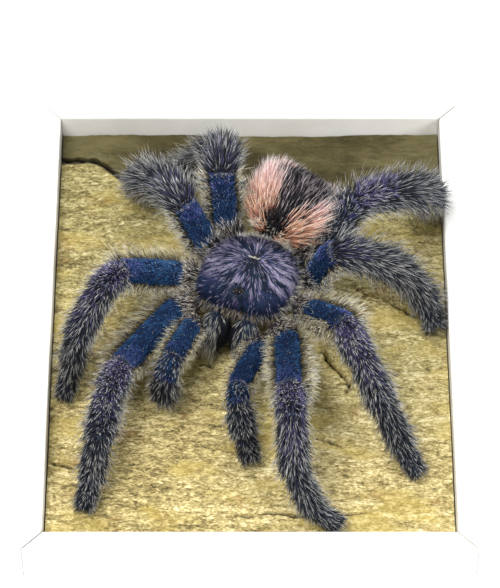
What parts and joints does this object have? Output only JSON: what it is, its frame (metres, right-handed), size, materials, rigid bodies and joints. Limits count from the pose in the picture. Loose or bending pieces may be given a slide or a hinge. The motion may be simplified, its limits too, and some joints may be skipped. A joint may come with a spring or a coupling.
{
  "type": "framed tarantula specimen",
  "caption": "Dried hairy tarantula in a walking pose, fixed on rough bark inside a shallow white rectangular tray frame that lies on its back.",
  "frame": {"origin": "middle of the tray's flat back face", "axes": "+Z out of the tray toward the specimen; +Y along the tray's long side, away from the rail that the spider faces; +X along the short side, toward the spider's left"},
  "size_m": [0.097, 0.123, 0.0333],
  "materials": {
    "white_paint": "satin white paint",
    "backing_card": "plain brown board",
    "bark_tan": "rough fibrous yellow tan bark",
    "bark_olive": "rough darker olive brown bark",
    "carapace_indigo": "silky dark indigo with mauve sheen",
    "abdomen_salmon": "long hair, salmon flanks and black back",
    "limb_slate": "short blue pile with pale tipped bristles",
    "jaw_blue": "slate blue hair",
    "waist_cream": "pale skin",
    "fang_black": "polished black horn"
  },
  "bodies": {
    "root": {"frame_rail_near": "white_paint", "frame_rail_far": "white_paint", "frame_rail_left": "white_paint", "frame_rail_right": "white_paint", "backing_board": "backing_card", "bark_panel": "bark_tan", "bark_strip_rear": "bark_olive", "carapace": "carapace_indigo", "pedicel": "waist_cream", "abdomen": "abdomen_salmon", "spinneret_left": "limb_slate", "chelicera_left": "jaw_blue", "fang_left": "fang_black", "pedipalp_left": "limb_slate", "leg_1_left": "limb_slate", "leg_2_left": "limb_slate", "leg_3_left": "limb_slate", "leg_4_left": "limb_slate", "spinneret_right": "limb_slate", "chelicera_right": "jaw_blue", "fang_right": "fang_black", "pedipalp_right": "limb_slate", "leg_1_right": "limb_slate", "leg_2_right": "limb_slate", "leg_3_right": "limb_slate", "leg_4_right": "limb_slate"}
  },
  "joints": []
}
